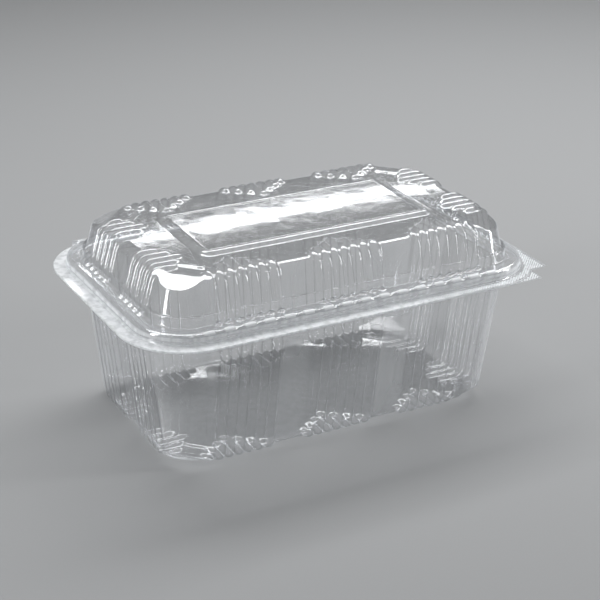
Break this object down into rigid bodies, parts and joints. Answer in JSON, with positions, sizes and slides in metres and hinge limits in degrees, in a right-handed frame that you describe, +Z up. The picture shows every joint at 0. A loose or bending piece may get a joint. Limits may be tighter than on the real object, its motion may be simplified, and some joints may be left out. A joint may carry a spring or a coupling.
{
  "type": "hinged clear food pack",
  "caption": "Clear film clamshell pack: a deep ribbed tray and a shallow ribbed lid joined by a fold along the back, with a snap bead rim and corner pull tabs",
  "frame": {"origin": "Middle of the ground contact, under the middle of the pack.", "axes": "+X runs along the long side to the corner with the pull tabs, +Y points from the front to the hinge, +Z is up."},
  "size_m": [0.188, 0.1194, 0.0847],
  "materials": {
    "clear_film": "clear colourless thermoformed film, glossy"
  },
  "bodies": {
    "tray_body": {"base_tray": "clear_film"},
    "lid_body": {"lid": "clear_film"}
  },
  "joints": [
    {"name": "lid_hinge", "type": "hinge", "parent": "tray_body", "child": "lid_body", "pos_m": [0, 0.0597, 0.0628], "axis": [-1, 0, 0], "range_deg": [0, 180]}
  ]
}
